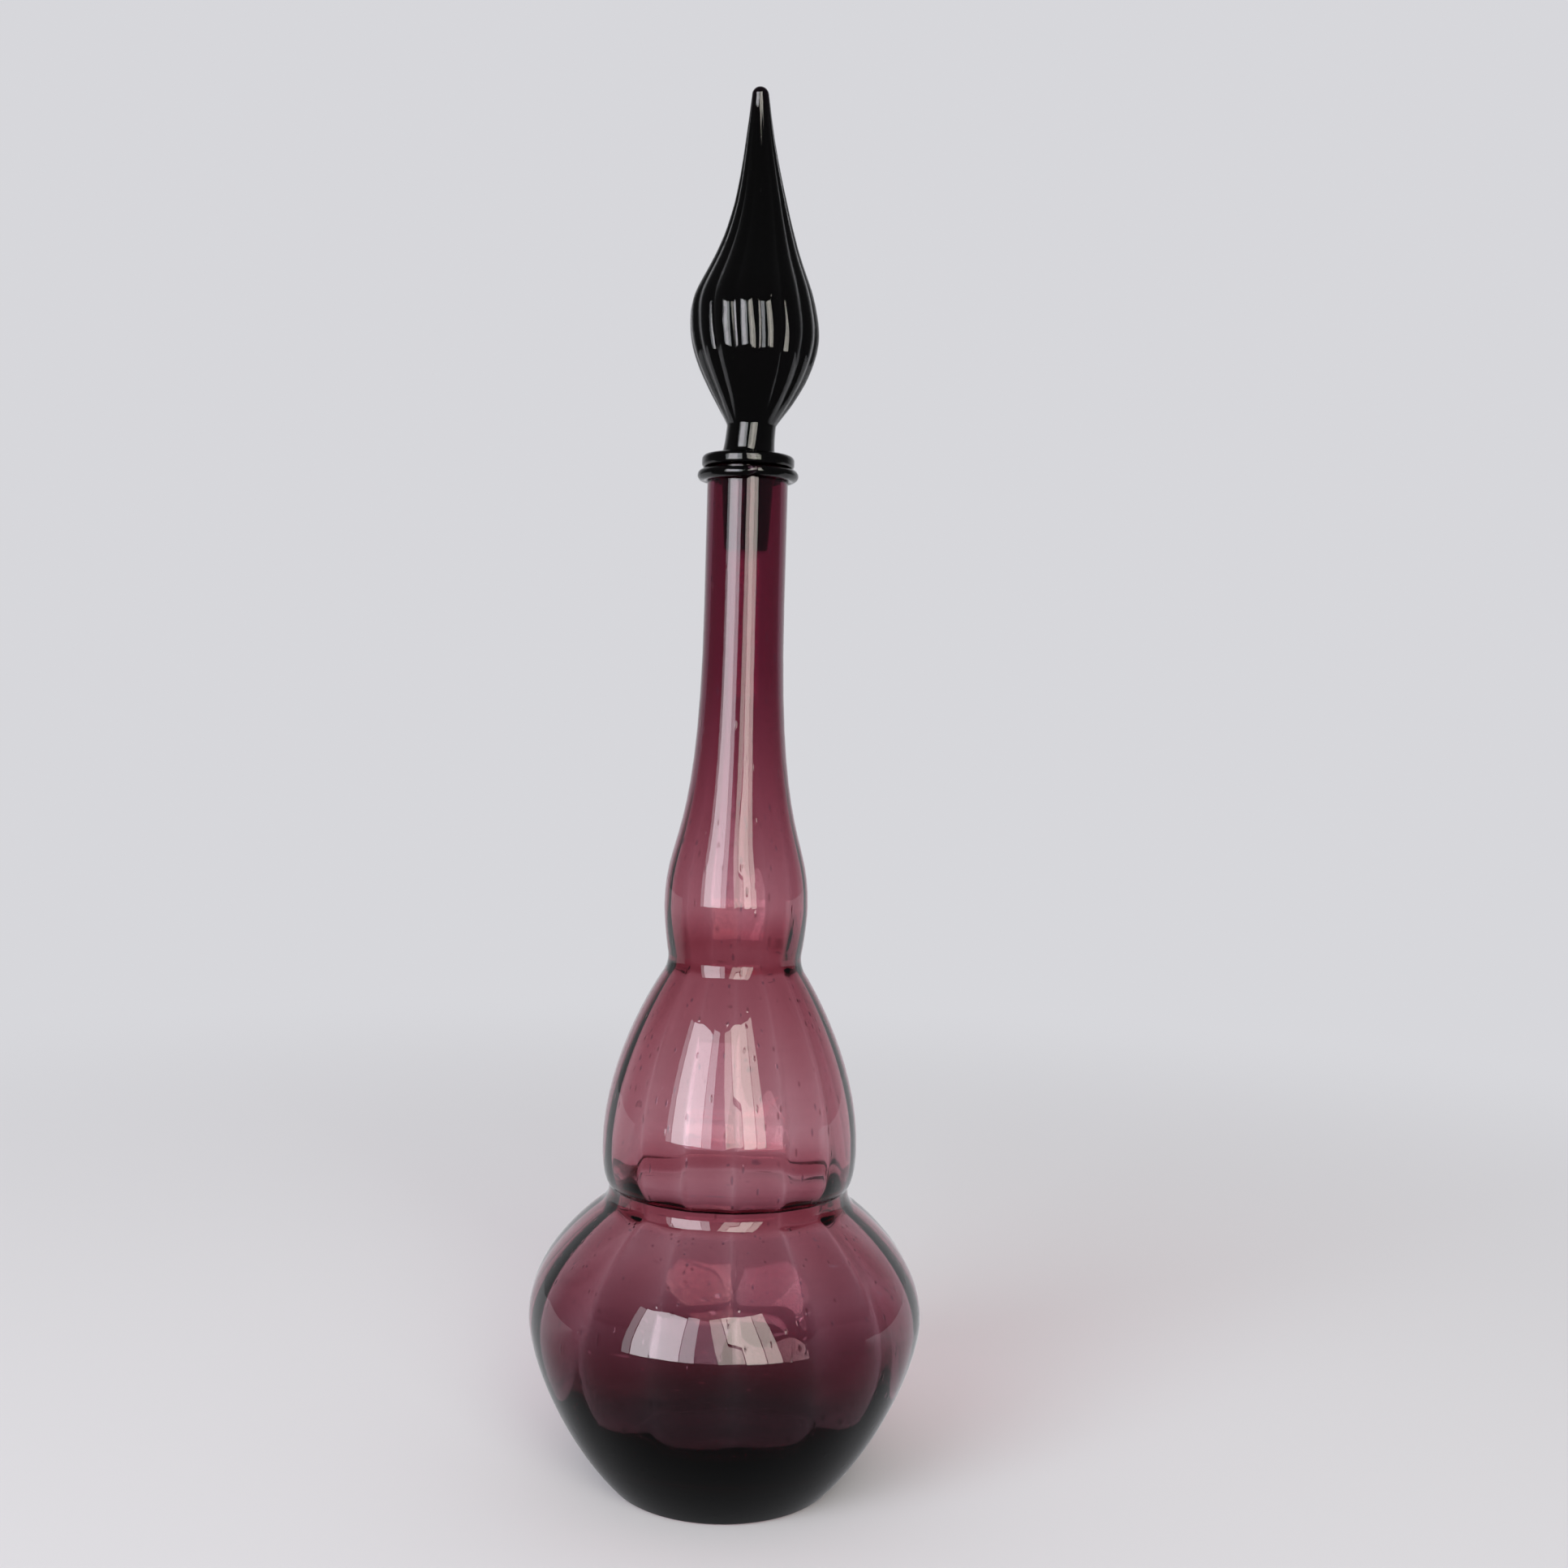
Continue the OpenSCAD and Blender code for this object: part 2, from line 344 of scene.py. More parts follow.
floor_z = KICK_H + BASE_T
corner = Vector((FLOOR_R, floor_z + CORNER_RISE))
corner_way = leaning(CORNER_LEAN)
bore_r = NECK_FOOT[0] - NECK_WALL
mouth_handle = QUARTER * MOUTH_ROUND

inside = [
    knot((0, floor_z), after=(FLOOR_RUN * FLOOR_R, floor_z)),
    knot(corner, corner - CORNER_BACK * corner_way, corner + CORNER_ON * corner_way),
    *blown_side(WALLS, "inside"),
    knot(
        (bore_r, MOUTH[1] - MOUTH_ROUND),
        after=(bore_r, MOUTH[1] - MOUTH_ROUND + mouth_handle),
    ),
    knot(
        (bore_r + MOUTH_ROUND, MOUTH[1]),
        before=(bore_r + MOUTH_ROUND - mouth_handle, MOUTH[1]),
    ),
    knot(MOUTH),
]
print("inside line:", len(inside), "knots, bore radius", bore_r, "mm")

# %% [markdown]
# ### The two skins
#
# Each line is spun and ribbed as a skin of its own, because the ribs stay
# deeper inside, where no tool smooths them. Joined round the mouth, the two
# skins close the wall. The glass is cased, with most of its colour on the
# inside, so an attribute keeps which skin a point belongs to.

# %% Spin, rib and join the two skins
ROUND_BOTTLE = RIBS * 12
BOTTLE_STEPS = 14
OUTER_RIB, INNER_RIB = 0.004, 0.011
RIB_TURN = math.radians(-6.75)
# Height in mm, and how much of their depth the ribs have there
BODY_FADE = [(16, 0), (75, 1), (250, 1), (330, 0.3), (400, 0)]
# The attribute is 0 on the outer skin and 1 on the inner one
COLOURED = "coloured"

outer_line = draw_outline("bottle_body_dressed", outside, BOTTLE_STEPS)
outer_skin = spin_outline(outer_line, ROUND_BOTTLE)
press_ribs(outer_skin, OUTER_RIB, BODY_FADE)
inner_skin = spin_outline(draw_outline("inner_skin", inside, BOTTLE_STEPS), ROUND_BOTTLE)
press_ribs(inner_skin, INNER_RIB, BODY_FADE)

for skin, is_inside in ((outer_skin, 0), (inner_skin, 1)):
    mark = skin.data.attributes.new(COLOURED, "FLOAT", "POINT")
    mark.data.foreach_set("value", [is_inside] * len(skin.data.vertices))
bottle = join([outer_skin, inner_skin])
bpy.ops.object.mode_set(mode="EDIT")
weld()
bpy.ops.object.mode_set(mode="OBJECT")
turn(bottle, RIB_TURN)
polish(bottle)

# %% [markdown]
# ## The lip ring
#
# The ring is a hot trail of glass, wound once round the mouth. It starts high,
# drops a little on its way round, and its thin tail lies slantwise over the
# start. A torus would be too even and has no ends. A curve with a round bevel is
# such a trail: each of its points has its own height and thickness. The hot
# glass then flattens where it meets the neck and where the disc would touch it.

# %% Wind the trail
# How far the ring stands out from the neck, and the trail's own radius
LIP_OUT, TRAIL_R = 4.1, 2.35
# The trail stops this far from the neck, so that their skins don't fall together
SEAT_GAP = 0.03
TRAIL_STEPS, TRAIL_ROUND = 10, 8
seat_r = MOUTH[0] + SEAT_GAP
wound_r = MOUTH[0] + LIP_OUT - TRAIL_R
# Degrees round to the right from the front, mm under the mouth, mm out, radius in mm
TRAIL = [
    (-3, 2.0, 0.0, 0.7), (2, 2.1, 0.0, 1.7), (10, 2.2, 0.0, 2.15),
    (22, 2.3, 0.0, 2.3), (45, 2.35, 0.1, 2.2), (70, 2.3, 0.0, 2.4),
    (100, 2.4, 0.0, 2.3), (135, 2.5, 0.05, 2.35), (170, 2.5, 0.0, 2.3),
    (205, 2.55, 0.0, 2.4), (240, 2.6, 0.05, 2.35), (275, 2.75, 0.0, 2.3),
    (305, 2.75, 0.0, 2.35), (332, 2.9, 0.0, 2.3), (350, 3.1, 0.1, 2.25),
    (359, 3.05, 0.35, 2.1), (366, 2.5, 0.7, 1.8), (372, 1.9, 0.9, 1.35),
    (377, 1.5, 0.9, 0.6),
]

bpy.ops.curve.primitive_bezier_curve_add()
trail_line = bpy.context.object
trail_line.name = "lip_ring_dressed"
trail_line.data.dimensions = "3D"
trail_line.data.resolution_u = TRAIL_STEPS
# The bevel is 1 mm deep, so a point's own radius is the trail's radius in mm
trail_line.data.bevel_depth = MM
trail_line.data.bevel_resolution = TRAIL_ROUND
trail_line.data.use_fill_caps = True
points = trail_line.data.splines[0].bezier_points
points.add(len(TRAIL) - len(points))
for point, (degrees, drop, out, radius) in zip(points, TRAIL):
    angle = math.radians(degrees)
    way = Vector((math.sin(angle), -math.cos(angle), 0))
    point.co = (wound_r + out) * MM * way + Vector((0, 0, (MOUTH[1] - drop) * MM))
    point.handle_left_type = point.handle_right_type = "AUTO"
    point.radius = radius
bpy.ops.object.convert(target="MESH")
lip = bpy.context.object

# %% Flatten it on the neck and on top
LIP_CREASE = 50
for v in lip.data.vertices:
    if v.co.xy.length < seat_r * MM:
        v.co.xy = v.co.xy.normalized() * seat_r * MM
    v.co.z = min(v.co.z, MOUTH[1] * MM)
bpy.ops.object.mode_set(mode="EDIT")
weld()
bpy.ops.object.mode_set(mode="OBJECT")
polish(lip, LIP_CREASE)

# %% [markdown]
# ## The stopper's flame
#
# The flame is blown into the same kind of ribbed mould and then drawn out into
# a tip, so its ribs stay sharp outside. It could be sculpted, but spun and
# pressed like the bottle, its ribs come out as even as a mould makes them. A
# sealed bubble fills its belly: it is a closed skin of its own inside the glass,
# whose faces look into the bubble.

# %% The flame's outline
DISC_T = 5.5
disc_top = MOUTH[1] + DISC_T
COLLAR_R, COLLAR_RUN = 11.3, 0.6
STEM, STEM_DROP, STEM_RISE = (9.8, disc_top + 11.5), 7.5, 0.05
FLAME_BELLY, BELLY_DROP, BELLY_RISE = (26, disc_top + 48.7), 0.46, 0.256
FLAME_TIP_H, TIP_R, TIP_SLOPE, TIP_RUN = 96.5, 3.5, 0.12, 0.8

tip_z = FLAME_BELLY[1] + FLAME_TIP_H
tip_foot = (TIP_R, tip_z - TIP_R)
tip_handle = QUARTER * TIP_R
flame_rise = FLAME_BELLY[1] - STEM[1]

flame_line = [
    knot((0, disc_top)),
    knot((COLLAR_R, disc_top), after=(COLLAR_R - COLLAR_RUN * (COLLAR_R - STEM[0]), disc_top)),
    upright_knot(STEM, STEM_DROP, STEM_RISE * flame_rise),
    upright_knot(FLAME_BELLY, BELLY_DROP * flame_rise, BELLY_RISE * FLAME_TIP_H),
    knot(
        tip_foot,
        (TIP_R + TIP_RUN * FLAME_TIP_H * TIP_SLOPE, tip_foot[1] - TIP_RUN * FLAME_TIP_H),
        (TIP_R, tip_foot[1] + tip_handle),
    ),
    knot((0, tip_z), before=(tip_handle, tip_z)),
]
print("flame from", disc_top, "to", tip_z, "mm")

# %% Spin and rib the flame
ROUND_FLAME, FLAME_STEPS = RIBS * 12, 24
FLAME_RIB = 0.045
# The ribs are full this far above the stem, and fade from this far above the belly
RIBS_FULL, RIBS_FADE = 10, 48
FLAME_FADE = [
    (STEM[1], 0), (STEM[1] + RIBS_FULL, 1), (FLAME_BELLY[1] + RIBS_FADE, 1),
    (tip_foot[1], 0.2), (tip_z, 0),
]
flame_outline = draw_outline("stopper_flame_dressed", flame_line, FLAME_STEPS)
flame_skin = spin_outline(flame_outline, ROUND_FLAME)
press_ribs(flame_skin, FLAME_RIB, FLAME_FADE)

# %% Blow its bubble
ROUND_BUBBLE, BUBBLE_STEPS = RIBS * 4, 16
FLAME_WALL = 4
FLAME_TURN = math.radians(-5.25)

bubble_foot = STEM[1] + 2 * FLAME_WALL
bubble_top = FLAME_BELLY[1] + FLAME_TIP_H / 2
bubble_r = FLAME_BELLY[0] * (1 - FLAME_RIB) - FLAME_WALL
bubble_belly = (bubble_r, FLAME_BELLY[1])
bubble_sink, bubble_rise = bubble_belly[1] - bubble_foot, bubble_top - bubble_belly[1]
bubble_line = [
    knot((0, bubble_foot), after=(bubble_r / 2, bubble_foot)),
    upright_knot(bubble_belly, bubble_sink / 2, bubble_rise / 3),
    knot((0, bubble_top), before=(bubble_r / 6, bubble_top - bubble_rise / 4)),
]
bubble = spin_outline(draw_outline("bubble", bubble_line, BUBBLE_STEPS), ROUND_BUBBLE)
bpy.ops.object.mode_set(mode="EDIT")
bpy.ops.mesh.select_all(action="SELECT")
bpy.ops.mesh.flip_normals()
bpy.ops.object.mode_set(mode="OBJECT")
flame = join([flame_skin, bubble])
turn(flame, FLAME_TURN)

# %% [markdown]
# The flame is drawn out by hand while it is soft, so it sways: first to the
# right and back, then up again. A Curve modifier could bend it, but would turn
# the ribs too. So each point moves only sideways, by what a short list says for
# its height.

# %% Let the drawn flame sway
# Height, and how far the middle of the flame lies to the right and to the back there
SWAY = [
    (416, 0, 0), (425, 0.75, 0.7), (435, 1.7, 1.9), (443, 1.9, 2.95),
    (451, 1.65, 4.0), (459, 1.3, 5.05), (465, 0.85, 5.8), (471, 0.3, 6.5),
    (476, 0.25, 7.0), (484, 0.8, 7.7), (492, 1.35, 8.2), (501, 1.85, 8.7),
    (514, 2.0, 9.3), (527, 1.55, 9.9), (540, 1.0, 10.5), (560, 0.55, 11.5),
]
# What leans back is drawn a little longer
DRAWN_LONGER = 0.35
FLAME_CREASE = 60
to_the_right = [(height, right) for height, right, _ in SWAY]
to_the_back = [(height, back) for height, _, back in SWAY]
for v in flame.data.vertices:
    height = v.co.z / MM
    right, back = between(height, to_the_right), between(height, to_the_back)
    v.co += Vector((right, back, DRAWN_LONGER * back)) * MM
polish(flame, FLAME_CREASE)

# %% [markdown]
# ## The stopper's disc and plug
#
# The disc is pressed flat while hot and rests on the lip. The plug below it
# tapers and hangs loose in the neck, so that it never sticks. A bevelled
# cylinder would do for the disc, but not for the hollow curve in which the plug
# widens to meet it. So both are turned like the rest: half an outline, spun.

# %% The disc
ROUND_PLUG, PLUG_STEPS = 96, 8
DISC_R, DISC_ROUND = 18.5, 2
edge_handle = QUARTER * DISC_ROUND
edge_r = DISC_R - DISC_ROUND
disc_line = [
    knot((0, MOUTH[1])),
    knot((edge_r, MOUTH[1]), after=(edge_r + edge_handle, MOUTH[1])),
    upright_knot((DISC_R, MOUTH[1] + DISC_ROUND), run_before=edge_handle),
    upright_knot((DISC_R, disc_top - DISC_ROUND), run_after=edge_handle),
    knot((edge_r, disc_top), before=(edge_r + edge_handle, disc_top)),
    knot((0, disc_top)),
]
disc_outline = draw_outline("stopper_disc_dressed", disc_line, PLUG_STEPS)
disc = polish(spin_outline(disc_outline, ROUND_PLUG))

# %% The plug
PLUG_H, PLUG_R, PLUG_FOOT_R, PLUG_ROUND = 32.6, 10.2, 8.8, 1.8
# The hollow curve by which the plug widens to the disc
COVE_H, COVE_RUN = 7, 0.45
MOUTH_GAP = 0.6
plug_foot = MOUTH[1] - PLUG_H
plug_handle = QUARTER * PLUG_ROUND
plug_edge = PLUG_FOOT_R - PLUG_ROUND
cove_handle = COVE_RUN * COVE_H
plug_line = [
    knot((0, plug_foot)),
    knot((plug_edge, plug_foot), after=(plug_edge + plug_handle, plug_foot)),
    upright_knot((PLUG_FOOT_R, plug_foot + PLUG_ROUND), run_before=plug_handle),
    upright_knot((PLUG_R, MOUTH[1] - COVE_H), run_after=cove_handle),
    upright_knot((bore_r - MOUTH_GAP, MOUTH[1]), run_before=cove_handle),
    knot((0, MOUTH[1])),
]
plug_outline = draw_outline("stopper_plug_dressed", plug_line, PLUG_STEPS)
plug = polish(spin_outline(plug_outline, ROUND_PLUG))

# %% [markdown]
# ## Glass
#
# Blown glass is never quite flat: its skin has slow waves, faint smears, and
# here and there a seed, a small bubble that was drawn out with the glass. They
# could be modelled, but they are too small and too many, and noise that reads
# Object coordinates gives each its place. All the pieces have them, so they are
# one node group that each glass uses.

# %% Small helpers for nodes
# Where a Mix node of colours has its factor, its two colours and its result
MIX_FACTOR, MIX_FIRST, MIX_SECOND, MIX_RESULT = 0, 6, 7, 2


def put_in(links, socket, value):
    """Sets a socket to a plain value, or links it to another node's output."""
    if isinstance(value, bpy.types.NodeSocket):
        links.new(value, socket)
    else:
        socket.default_value = value


def maths(nodes, links, operation, *values):
    """A Math node, whose values are plain numbers or other nodes' outputs."""
    node = nodes.new("ShaderNodeMath")
    node.operation = operation
    for socket, value in zip(node.inputs, values):
        put_in(links, socket, value)
    return node.outputs[0]


def mixed_colour(nodes, links, factor, first, second):
    """The first colour where factor is 0, the second where it is 1."""
    node = nodes.new("ShaderNodeMix")
    node.data_type = "RGBA"
    for place, value in ((MIX_FACTOR, factor), (MIX_FIRST, first), (MIX_SECOND, second)):
        put_in(links, node.inputs[place], value)
    return node.outputs[MIX_RESULT]


# %% A surface that has been blown by hand
# A seed is this much of its length wide, and fades in from its edge to its middle
SEED_DRAWN, SEED_EDGE, SEED_MIDDLE = 0.3, 0.2, 0.1
# Only the cells above this hold a seed, and it stands this much higher than a wave
NO_SEED, SEED_HIGH = 0.55, 3
SMEAR_SCALE, SMEAR_DETAIL = 70, 6


def blown_group():
    group = bpy.data.node_groups.new("blown surface", "ShaderNodeTree")
    for name in ("Wave scale", "Seed scale", "Roughness"):
        group.interface.new_socket(name, in_out="INPUT", socket_type="NodeSocketFloat")
    for name in ("Height", "Roughness", "Seeds"):
        group.interface.new_socket(name, in_out="OUTPUT", socket_type="NodeSocketFloat")
    nodes, links = group.nodes, group.links
    given, made = nodes.new("NodeGroupInput"), nodes.new("NodeGroupOutput")
    place = nodes.new("ShaderNodeTexCoord").outputs["Object"]

    wave = nodes.new("ShaderNodeTexNoise")
    wave.inputs["Detail"].default_value = 1
    links.new(place, wave.inputs["Vector"])
    links.new(given.outputs["Wave scale"], wave.inputs["Scale"])

    drawn = nodes.new("ShaderNodeMapping")
    drawn.inputs["Scale"].default_value = (1, 1, SEED_DRAWN)
    links.new(place, drawn.inputs["Vector"])
    cell = nodes.new("ShaderNodeTexVoronoi")
    links.new(drawn.outputs["Vector"], cell.inputs["Vector"])
    links.new(given.outputs["Seed scale"], cell.inputs["Scale"])
    dot = nodes.new("ShaderNodeMapRange")
    dot.inputs["From Min"].default_value = SEED_EDGE
    dot.inputs["From Max"].default_value = SEED_MIDDLE
    links.new(cell.outputs["Distance"], dot.inputs["Value"])
    holds_one = maths(nodes, links, "GREATER_THAN", cell.outputs["Color"], NO_SEED)
    seeds = maths(nodes, links, "MULTIPLY", dot.outputs["Result"], holds_one)

    smear = nodes.new("ShaderNodeTexNoise")
    smear.inputs["Scale"].default_value = SMEAR_SCALE
    smear.inputs["Detail"].default_value = SMEAR_DETAIL
    links.new(place, smear.inputs["Vector"])

    height = maths(nodes, links, "MULTIPLY_ADD", seeds, SEED_HIGH, wave.outputs["Fac"])
    rough = maths(nodes, links, "MULTIPLY", smear.outputs["Fac"], given.outputs["Roughness"])
    links.new(height, made.inputs["Height"])
    links.new(rough, made.inputs["Roughness"])
    links.new(seeds, made.inputs["Seeds"])
    return group


blown_surface = blown_group()
print(blown_surface.name, len(blown_surface.nodes), "nodes")

# %% [markdown]
# ### A cased glass
#
# A thin wall is pink and the neck plum. Colour through the depth alone would
# give that, but it would blacken every rim too, where light runs a long way
# inside the wall. So the bottle's depth has only a light colour. The rest lies
# on its inner skin, thin on the bulbs and thick on the floor, and light that only
# grazes the outside doesn't meet it. The inner skin also darkens down the lower
# bulb to a nearly black floor. That is painted shade for the dark floor under the
# bottle, and on the floor it is partly the deep colour of the thick base.


# %% Colours of the two skins
def coloured_by_height(nodes, links, stops):
    """A colour that changes with the height, from a list of (height in mm, colour)."""
    place = nodes.new("ShaderNodeTexCoord")
    split = nodes.new("ShaderNodeSeparateXYZ")
    links.new(place.outputs["Object"], split.inputs[0])
    top = stops[-1][0]
    ramp = nodes.new("ShaderNodeValToRGB")
    links.new(maths(nodes, links, "DIVIDE", split.outputs["Z"], top * MM), ramp.inputs["Fac"])
    elements = ramp.color_ramp.elements
    while len(elements) < len(stops):
        elements.new(0.5)
    for element, (height, colour) in zip(elements, stops):
        element.position = height / top
        element.color = (*colour, 1)
    return ramp.outputs["Color"]


def cased(nodes, links, outer, inner):
    """The colours of the two skins, each by its height."""
    is_inner = nodes.new("ShaderNodeAttribute")
    is_inner.attribute_name = COLOURED
    return mixed_colour(
        nodes, links, is_inner.outputs["Fac"],
        coloured_by_height(nodes, links, outer), coloured_by_height(nodes, links, inner),
    )


# %% Put a glass together
IOR = 1.5
WAVE_SCALE, SEED_SCALE, ROUGHNESS = 35, 300, 0.01
BUMP, BUMP_DEPTH = 0.1, 0.0005
CLEAR, SEED_COLOUR = (1, 1, 1, 1), (0.45, 0.38, 0.42, 1)


def new_glass(name, keeps, density, shadow, shine=0.5, casing=None):
    """Glass coloured through its depth by keeps and density, and on its two skins by a casing."""
    glass = bpy.data.materials.new(name)
    glass.use_nodes = True
    nodes, links = glass.node_tree.nodes, glass.node_tree.links
    nodes.clear()
    surface = nodes.new("ShaderNodeGroup")
    surface.node_tree = blown_surface
    surface.inputs["Wave scale"].default_value = WAVE_SCALE
    surface.inputs["Seed scale"].default_value = SEED_SCALE
    surface.inputs["Roughness"].default_value = ROUGHNESS
    bump = nodes.new("ShaderNodeBump")
    bump.inputs["Strength"].default_value = BUMP
    bump.inputs["Distance"].default_value = BUMP_DEPTH
    links.new(surface.outputs["Height"], bump.inputs["Height"])
    skin = cased(nodes, links, *casing) if casing else CLEAR
    colour = mixed_colour(nodes, links, surface.outputs["Seeds"], skin, SEED_COLOUR)

    shader = nodes.new("ShaderNodeBsdfPrincipled")
    shader.inputs["Transmission Weight"].default_value = 1
    shader.inputs["IOR"].default_value = IOR
    shader.inputs["Specular IOR Level"].default_value = shine
    links.new(colour, shader.inputs["Base Color"])
    links.new(surface.outputs["Roughness"], shader.inputs["Roughness"])
    links.new(bump.outputs["Normal"], shader.inputs["Normal"])

    # Light passes straight through to the floor, only tinted
    clear = nodes.new("ShaderNodeBsdfTransparent")
    clear.inputs["Color"].default_value = (*shadow, 1)
    ray = nodes.new("ShaderNodeLightPath")
    mix = nodes.new("ShaderNodeMixShader")
    links.new(ray.outputs["Is Shadow Ray"], mix.inputs[0])
    links.new(shader.outputs[0], mix.inputs[1])
    links.new(clear.outputs[0], mix.inputs[2])

    depth = nodes.new("ShaderNodeVolumeAbsorption")
    depth.inputs["Color"].default_value = (*keeps, 1)
    depth.inputs["Density"].default_value = density
    made = nodes.new("ShaderNodeOutputMaterial")
    links.new(mix.outputs[0], made.inputs["Surface"])
    links.new(depth.outputs[0], made.inputs["Volume"])
    print("glass:", name)
    return glass


# %% The bottle's glass
# Height in mm, and the colour of the inner skin there. Below about 85 mm it
# darkens down to a nearly black floor. That is painted shade for the dark floor
# under the bottle seen through the glass, and on the floor itself it is partly
# the deep colour of the thick base.
INNER_COLOURS_AND_SHADE = [
    (14, (0.01, 0.003, 0.007)), (18, (0.02, 0.007, 0.012)), (24, (0.08, 0.03, 0.045)),
    (40, (0.13, 0.055, 0.075)), (60, (0.32, 0.15, 0.18)), (85, (0.72, 0.42, 0.46)),
    (105, (0.98, 0.72, 0.7)), (230, (0.96, 0.67, 0.66)), (280, (0.8, 0.4, 0.45)),
    (330, (0.58, 0.15, 0.25)), (409, (0.46, 0.098, 0.19)),
]
OUTER_COLOURS = [
    (0, (0.75, 0.72, 0.78)), (230, (0.75, 0.72, 0.78)),
    (330, (0.45, 0.4, 0.5)), (409, (0.45, 0.4, 0.5)),
]
PINK_SHADOW = (0.95, 0.9, 0.93)
amethyst_glass = new_glass(
    "amethyst_glass", keeps=(0.575, 0.0, 0.14), density=320, shadow=PINK_SHADOW,
    casing=(OUTER_COLOURS, INNER_COLOURS_AND_SHADE),
)

# %% [markdown]
# ### Dark glass
#
# The stopper and its plug are so full of colour that hardly any light gets
# through, and the trail is given glass darker still. The trail is amethyst like
# the bottle, so its near-black is partly the depth of the thick trail and partly
# painted shade for the dark plug seen through it. Black paint would do that
# too, but glass lets some light through a thin edge. So they have their colour
# in their depth alone, and a lot of it. The stopper is duller than the bottle,
# and the plug is seen only behind the neck, so it has next to no shine of its own.

# %% The dark glasses
DARK_KEEPS, DARK_SHADOW = (0.3, 0.0, 0.25), (0.9, 0.85, 0.9)
# The trail's glass is darker than the bottle's: partly painted shade for the dark plug behind it
trail_glass = new_glass("trail_glass", keeps=(0.5, 0.0, 0.3), density=2200, shadow=PINK_SHADOW)
dark_amethyst_glass = new_glass(
    "dark_amethyst_glass", keeps=DARK_KEEPS, density=1300, shadow=DARK_SHADOW, shine=0.4,
)
plug_glass = new_glass(
    "plug_glass", keeps=DARK_KEEPS, density=2000, shadow=DARK_SHADOW, shine=0.15,
)

# %% [markdown]
# ### Each piece in its place
#
# Every piece stands for the solid whose place it takes, and moves with that
# solid's body. So when the stopper is lifted, its flame, disc and plug rise
# together, and the trail stays on the bottle.

# %% Give each piece its glass, its solid and its body
for piece, node, body, glass, finish in (
    (bottle, "bottle_body", "bottle", amethyst_glass, "amethyst_glass"),
    (lip, "lip_ring", "bottle", trail_glass, "amethyst_glass"),
    (flame, "stopper_flame", "stopper", dark_amethyst_glass, "dark_amethyst_glass"),
    (disc, "stopper_disc", "stopper", dark_amethyst_glass, "dark_amethyst_glass"),
    (plug, "stopper_plug", "stopper", plug_glass, "dark_amethyst_glass"),
):
    piece.data.materials.clear()
    piece.data.materials.append(glass)
    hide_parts(node)
    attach(piece, body)
    print(piece.name, "stands for", node, "and moves with the", body)

# %% [markdown]
# ## Studio
#
# Glass shows the room more than itself. A real studio would need walls, a sweep
# of paper and black cards. Here the floor and the world are enough, because
# Light Path tells which kind of ray asks for a colour. The floor and the
# backdrop are pale, and so is all that is seen through the glass, but what the
# glass mirrors is a dim room with tall soft boxes in front. So dark glass stays
# dark, and its edges get a thin dark line.

# %% Small helpers for the room
PALE = (0.68, 0.68, 0.71)
# How much of its light the room in front and the floor keep in a mirror
DIM = 0.12


def rising(nodes, links, value, low, high):
    """Goes smoothly from 0 at low to 1 at high."""
    node = nodes.new("ShaderNodeMapRange")
    node.interpolation_type = "SMOOTHSTEP"
    node.inputs["From Min"].default_value = low
    node.inputs["From Max"].default_value = high
    links.new(value, node.inputs["Value"])
    return node.outputs["Result"]


def mixed(nodes, links, factor, first, second):
    """The first shader where factor is 0, the second where it is 1."""
    node = nodes.new("ShaderNodeMixShader")
    for socket, value in zip(node.inputs, (factor, first, second)):
        links.new(value, socket)
    return node.outputs[0]


# %% Lay the floor
FLOOR_REACH, FLOOR_CORNERS = 6, 128
bpy.ops.mesh.primitive_circle_add(vertices=FLOOR_CORNERS, radius=FLOOR_REACH, fill_type="NGON")
floor = bpy.context.object
floor.name = "floor"
pale = bpy.data.materials.new("pale_floor")
pale.use_nodes = True
nodes, links = pale.node_tree.nodes, pale.node_tree.links
nodes.clear()


def glow(strength):
    node = nodes.new("ShaderNodeEmission")
    node.inputs["Color"].default_value = (*PALE, 1)
    node.inputs["Strength"].default_value = strength
    return node.outputs[0]


# %% The floor as it is seen, and through the glass
# Distances from the bottle in m: its shade ends, and the floor turns plain
SHADE_ENDS, TURNS_PLAIN = (0.045, 0.085), (0.35, 1.2)
matt = nodes.new("ShaderNodeBsdfDiffuse")
matt.inputs["Color"].default_value = (*PALE, 1)
plain = glow(1)
where = nodes.new("ShaderNodeTexCoord").outputs["Object"]
distance = nodes.new("ShaderNodeVectorMath")
distance.operation = "LENGTH"
links.new(where, distance.inputs[0])
away = distance.outputs["Value"]
ray = nodes.new("ShaderNodeLightPath")
# Right under the bottle, the floor keeps its shade in the glass too
through = maths(
    nodes, links, "MULTIPLY",
    ray.outputs["Is Transmission Ray"], rising(nodes, links, away, *SHADE_ENDS),
)
plainly = maths(nodes, links, "MAXIMUM", through, rising(nodes, links, away, *TURNS_PLAIN))
seen = mixed(nodes, links, plainly, matt.outputs[0], plain)

# %% The floor in a mirror
# From here to here, in m behind the bottle's axis, the floor turns from dim to pale
BEHIND = (-0.1, 0.15)
